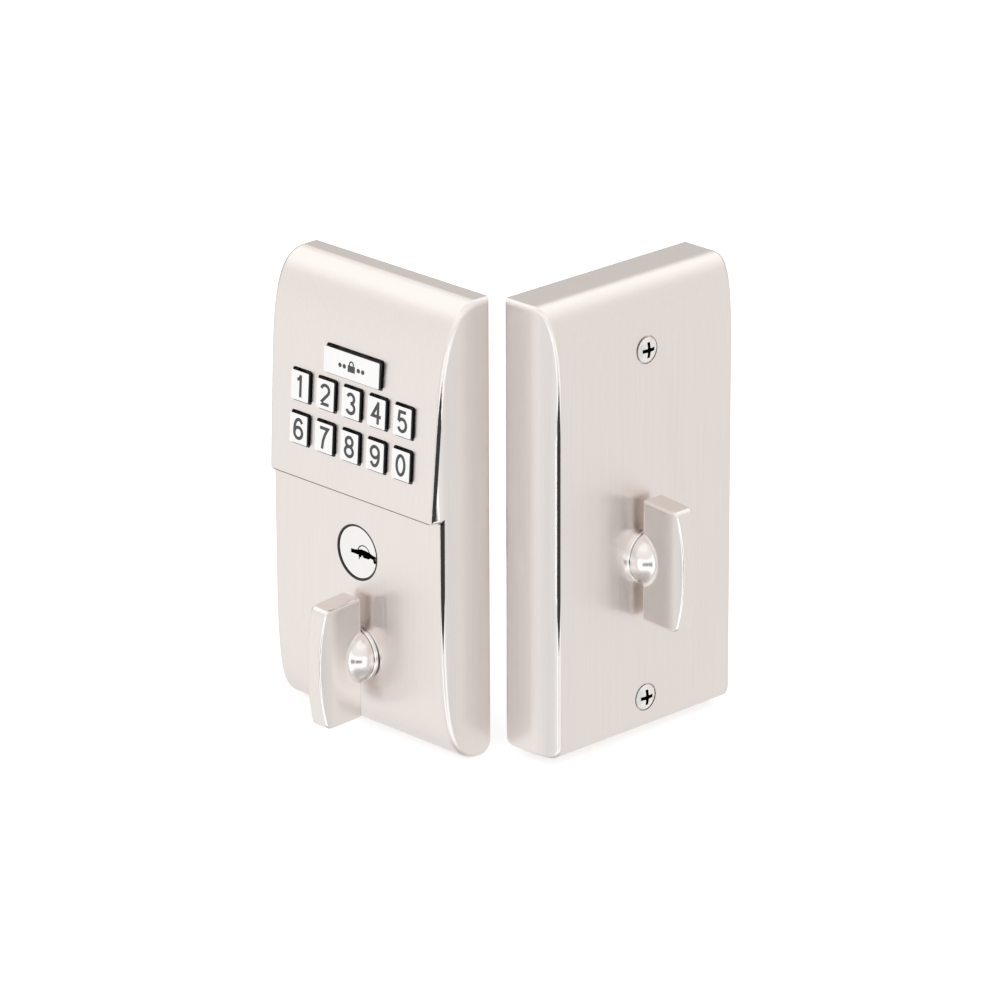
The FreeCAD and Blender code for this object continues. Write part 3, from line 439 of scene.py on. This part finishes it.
def key_cap():
    """Bright plated face; the key's sides are painted black as shade: only what looks out of the panel is
    plated.
    """
    made, tree, shader = new_material("key_cap", (0.9, 0.9, 0.895), 0.22)
    out = node(tree, "ShaderNodeVectorMath", i0=node(tree, "ShaderNodeNewGeometry").outputs["Normal"],
               i1=tuple(PANEL_OUT))
    out.operation = "DOT_PRODUCT"
    face = smooth_between(tree, out.outputs["Value"], 0.75, 0.9)
    fine = grain(tree, (900, 900, 60))
    plated = ramp(tree, fine, [(0.3, (0.93, 0.925, 0.91)), (0.7, (0.98, 0.975, 0.96))])
    # painted shade: the key's sides are black and not metal, only its face is plated
    tree.links.new(mix_color(tree, face, KEY_SIDE_SHADE, plated), shader.inputs["Base Color"])
    tree.links.new(face, shader.inputs["Metallic"])
    rough(tree, shader, fine, 0.2, 0.26)
    bump(tree, shader, fine, 0.002 * MM, 0.4)
    return made


def plastic(name, color, roughness, scale=2500, depth=0.01 * MM):
    made, tree, shader = new_material(name, color, roughness)
    fine = grain(tree, (scale, scale, scale))
    tint(tree, shader, fine, color, 0.85, 1.15)
    rough(tree, shader, fine, roughness - 0.08, roughness + 0.08)
    bump(tree, shader, fine, depth, 0.5)
    return made


def circuit_board():
    """Green solder mask with faint tracks under it."""
    made, tree, shader = new_material("circuit_board", (0.01, 0.10, 0.035), 0.3, Coat_Weight=0.4)
    place = node(tree, "ShaderNodeTexCoord").outputs["Object"]
    cells = node(tree, "ShaderNodeTexVoronoi", Vector=place, Scale=260.0)
    cells.distance = "MANHATTAN"
    cells.feature = "F1"
    tracks = smooth_between(tree, cells.outputs["Distance"], 0.35, 0.45)
    color = ramp(tree, tracks, [(0.0, (0.008, 0.09, 0.03)), (1.0, (0.02, 0.17, 0.06))])
    tree.links.new(color, shader.inputs["Base Color"])
    bump(tree, shader, tracks, 0.03 * MM, 0.4)
    return made


def coil_winding():
    """Enamelled wire wound round the coil's axis, which lies along X."""
    made, tree, shader = new_material("coil_winding", (0.45, 0.12, 0.04), 0.35, 0.6)
    place = node(tree, "ShaderNodeTexCoord").outputs["Object"]
    wave = node(tree, "ShaderNodeTexWave", Vector=place, Scale=900.0, Distortion=0.2)
    wave.bands_direction = "X"
    color = ramp(tree, wave.outputs["Fac"], [(0.0, (0.2, 0.04, 0.015)), (1.0, (0.62, 0.2, 0.07))])
    tree.links.new(color, shader.inputs["Base Color"])
    bump(tree, shader, wave.outputs["Fac"], 0.08 * MM, 0.8)
    return made


def battery_case():
    """Plain painted can with a lighter upper band and no lettering."""
    made, tree, shader = new_material("battery_case", BATTERY_BLACK, 0.3, Coat_Weight=0.3)
    height = object_place(tree)[2]
    band = smooth_between(tree, height, BATTERY_BAND - 0.2 * MM, BATTERY_BAND + 0.2 * MM)
    color = ramp(tree, band, [(0.0, BATTERY_BLACK), (1.0, (0.55, 0.36, 0.12))])
    tree.links.new(color, shader.inputs["Base Color"])
    rough(tree, shader, grain(tree, (300, 300, 300)), 0.25, 0.35)
    return made


def ink():
    made, tree, shader = new_material("ink", INK_GREY, 0.5)
    tint(tree, shader, grain(tree, (4000, 4000, 4000)), INK_GREY, 0.9, 1.1)
    return made


materials = {
    "satin_nickel": satin_nickel(),
    "polished_nickel": polished("polished_nickel"),
    "key_cap": key_cap(),
    "plated_steel": metal("plated_steel", (0.62, 0.63, 0.64), 0.34, (500, 500, 500), 0.004 * MM, 0.08, 0.5),
    "spring_steel": metal("spring_steel", (0.42, 0.42, 0.43), 0.28, (900, 900, 900), 0.003 * MM, 0.08, 0.5),
    "brass": metal("brass", BRASS, 0.3, (700, 1600, 700), 0.004 * MM, 0.07, 0.5),
    "sintered_steel": metal("sintered_steel", (0.30, 0.30, 0.31), 0.5, (2200, 2200, 2200), 0.02 * MM,
                            0.25, 0.8),
    "silicone": plastic("silicone", (0.02, 0.02, 0.022), 0.65),
    "circuit_board": circuit_board(),
    "black_plastic": plastic("black_plastic", (0.015, 0.015, 0.017), 0.5),
    "coil_winding": coil_winding(),
    "battery_case": battery_case(),
}
node_materials = {
    "exterior_thumbturn": turn_nickel(),
    "cylinder_plug": cylinder_face(),
    "cylinder_shell": shaded_bore_brass(),
    "cover_screws": screw_nickel(),
}
node_materials["interior_thumbturn"] = node_materials["exterior_thumbturn"]
ink_material = ink()


def paint_nodes():
    slots = {part["node"]: part["material_slot"] for part in frame["record"]["subparts"]}
    for name, thing in nodes.items():
        thing.data.materials.clear()
        thing.data.materials.append(node_materials.get(name, materials[slots[name]]))


# ---------------------------------------------------------------- marks on the keys

def key_face_centre(name):
    """Middle of a key's face, from its solid."""
    points = [v.co for v in nodes[name].data.vertices]
    reach = max(p.dot(PANEL_OUT) for p in points)
    face = [p for p in points if p.dot(PANEL_OUT) > reach - 0.02 * MM]
    ups = [p.dot(PANEL_UP) for p in face]
    sides = [p.dot(ACROSS) for p in face]
    middle = ACROSS * (min(sides) + max(sides)) / 2 + PANEL_UP * (min(ups) + max(ups)) / 2
    return middle + PANEL_OUT * reach


def on_key(mesh, name, piece_name, body):
    """Lay a flat mesh, drawn in x and y about the origin, on a key's face."""
    turn = Matrix((ACROSS, PANEL_UP, PANEL_OUT)).transposed().to_4x4()
    mesh.transform(Matrix.Translation(key_face_centre(name)) @ turn)
    mesh.materials.append(ink_material)
    piece = bpy.data.objects.new(piece_name, mesh)
    bpy.context.scene.collection.objects.link(piece)
    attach(piece, body)


def bow(centre, radii, start, end, steps=14):
    """Points along an ellipse, from one angle to another in degrees."""
    angles = [math.radians(start + (end - start) * i / steps) for i in range(steps + 1)]
    return [Vector((centre[0] + radii[0] * math.cos(angle), centre[1] + radii[1] * math.sin(angle)))
            for angle in angles]


def ribbon(points, width, closed=False):
    """Quads that follow a line of points, with mitred corners."""
    points = [Vector(p) for p in points]
    count = len(points)
    if closed:
        ways = [(points[(i + 1) % count] - points[i]).normalized() for i in range(count)]
        pairs = [(ways[i - 1], ways[i]) for i in range(count)]
    else:
        ways = [(points[i + 1] - points[i]).normalized() for i in range(count - 1)]
        pairs = [(ways[max(i - 1, 0)], ways[min(i, count - 2)]) for i in range(count)]
    rails = []
    for point, (before, after) in zip(points, pairs):
        way = (before + after).normalized()
        out = Vector((-way.y, way.x)) * width / 2 / max(way.dot(before), 0.3)
        rails.append((point + out, point - out))
    starts = rails if closed else rails[:-1]
    ends = rails[1:] + rails[:1]
    return [[left, right, next_right, next_left]
            for (left, right), (next_left, next_right) in zip(starts, ends)]


def flat_mesh(name, polygons):
    """One thin plate as the union of flat polygons, drawn in millimetres."""
    corners = [corner for polygon in polygons for corner in polygon]
    faces = []
    first = 0
    for polygon in polygons:
        faces.append(list(range(first, first + len(polygon))))
        first += len(polygon)
    points, _, triangles, _, _, sources = delaunay_2d_cdt(corners, [], faces, 1, 1e-5)
    shape = bmesh.new()
    spots = [shape.verts.new((p.x * MM, p.y * MM, -INK_THICK)) for p in points]
    for triangle, source in zip(triangles, sources):
        if source:
            shape.faces.new([spots[i] for i in triangle])
    bmesh.ops.delete(shape, geom=[v for v in shape.verts if not v.link_faces], context="VERTS")
    raised = bmesh.ops.extrude_face_region(shape, geom=shape.faces[:])["geom"]
    bmesh.ops.translate(shape, verts=[v for v in raised if isinstance(v, bmesh.types.BMVert)],
                        vec=(0, 0, 2 * INK_THICK))
    bmesh.ops.recalc_face_normals(shape, faces=shape.faces[:])
    mesh = bpy.data.meshes.new(name)
    shape.to_mesh(mesh)
    shape.free()
    return mesh


def digit_strokes(text):
    """Polygons of a digit, in millimetres about its middle."""
    w, h = DIGIT_REACH_X, DIGIT_REACH_Y
    end = h + DIGIT_STROKE / 2
    bowl = bow((0, h * -0.42), (w, h * 0.58), 0, 360, 28)[:-1]
    hook = [(-w, h * -0.42)] + bow((w * 0.06, 0), (w * 1.06, h), 180, 38)
    # each line's points, and whether it closes on itself
    lines = {
        "0": [(bow((0, 0), (w * 0.97, h), 0, 360, 32)[:-1], True)],
        "1": [([(0.35, end), (0.35, -end)], False),
              (bow((-1.15, h + 0.25), (1.35, 1.3), -90, -10, 6), False)],
        "2": [(bow((0, h * 0.47), (w, h * 0.53), 168, -42)
               + [(-w + 0.1, -h + 0.45), (-w + 0.1, -h), (w, -h)], False)],
        "3": [(bow((0, h * 0.52), (w * 0.86, h * 0.48), 160, -90), False),
              (bow((0, h * -0.48), (w, h * 0.52), 90, -160), False)],
        "4": [([(0.75, end), (0.75, -end)], False), ([(0.75, h), (-w, -1.1), (w + 0.35, -1.1)], False)],
        "5": [([(w - 0.2, h), (-w + 0.5, h), (-w + 0.15, 0.05)], False),
              (bow((0, h * -0.36), (w, h * 0.64), 150, -158), False)],
        "6": [(bowl, True), (hook, False)],
        "7": [([(-w, h), (w, h), (0.55, 1.1), (-0.2, -0.9), (-0.55, -end)], False)],
        "8": [(bow((0, h * 0.52), (w * 0.84, h * 0.48), 0, 360, 24)[:-1], True),
              (bow((0, h * -0.48), (w, h * 0.52), 0, 360, 28)[:-1], True)],
        "9": [([(-x, -y) for x, y in bowl], True), ([(-x, -y) for x, y in hook], False)],
    }
    return [quad for points, closed in lines[text] for quad in ribbon(points, DIGIT_STROKE, closed)]


def add_digits():
    for text in "1234567890":
        mesh = flat_mesh("digit_" + text, digit_strokes(text))
        on_key(mesh, "key_" + text, "digit_" + text, "button_" + text)


def add_padlock():
    """Pictogram on the wide key: a padlock between dots, as for a hidden code."""
    half, foot, shoulder = 1.55, -1.7, 0.35
    case = [[Vector(p) for p in ((-half, foot), (half, foot), (half, shoulder), (-half, shoulder))]]
    bend, leg_end = 0.85, shoulder - 0.2
    arch = bow((0, 0.75), (bend, bend), 0, 180)
    shackle = ribbon([(bend, leg_end)] + arch + [(-bend, leg_end)], 0.5)
    dot = 0.72
    dots = [bow((x, -0.45), (dot, dot), 0, 360, 20)[:-1] for x in (-5.0, -3.1, 3.1, 5.0)]
    on_key(flat_mesh("code_mark", case + shackle + dots), "enter_key", "code_mark", "enter_button")


# ---------------------------------------------------------------- assembly

add_camera()
add_world()
add_floor()
paint_nodes()
add_digits()
add_padlock()
bpy.context.scene.view_settings.view_transform = "Standard"
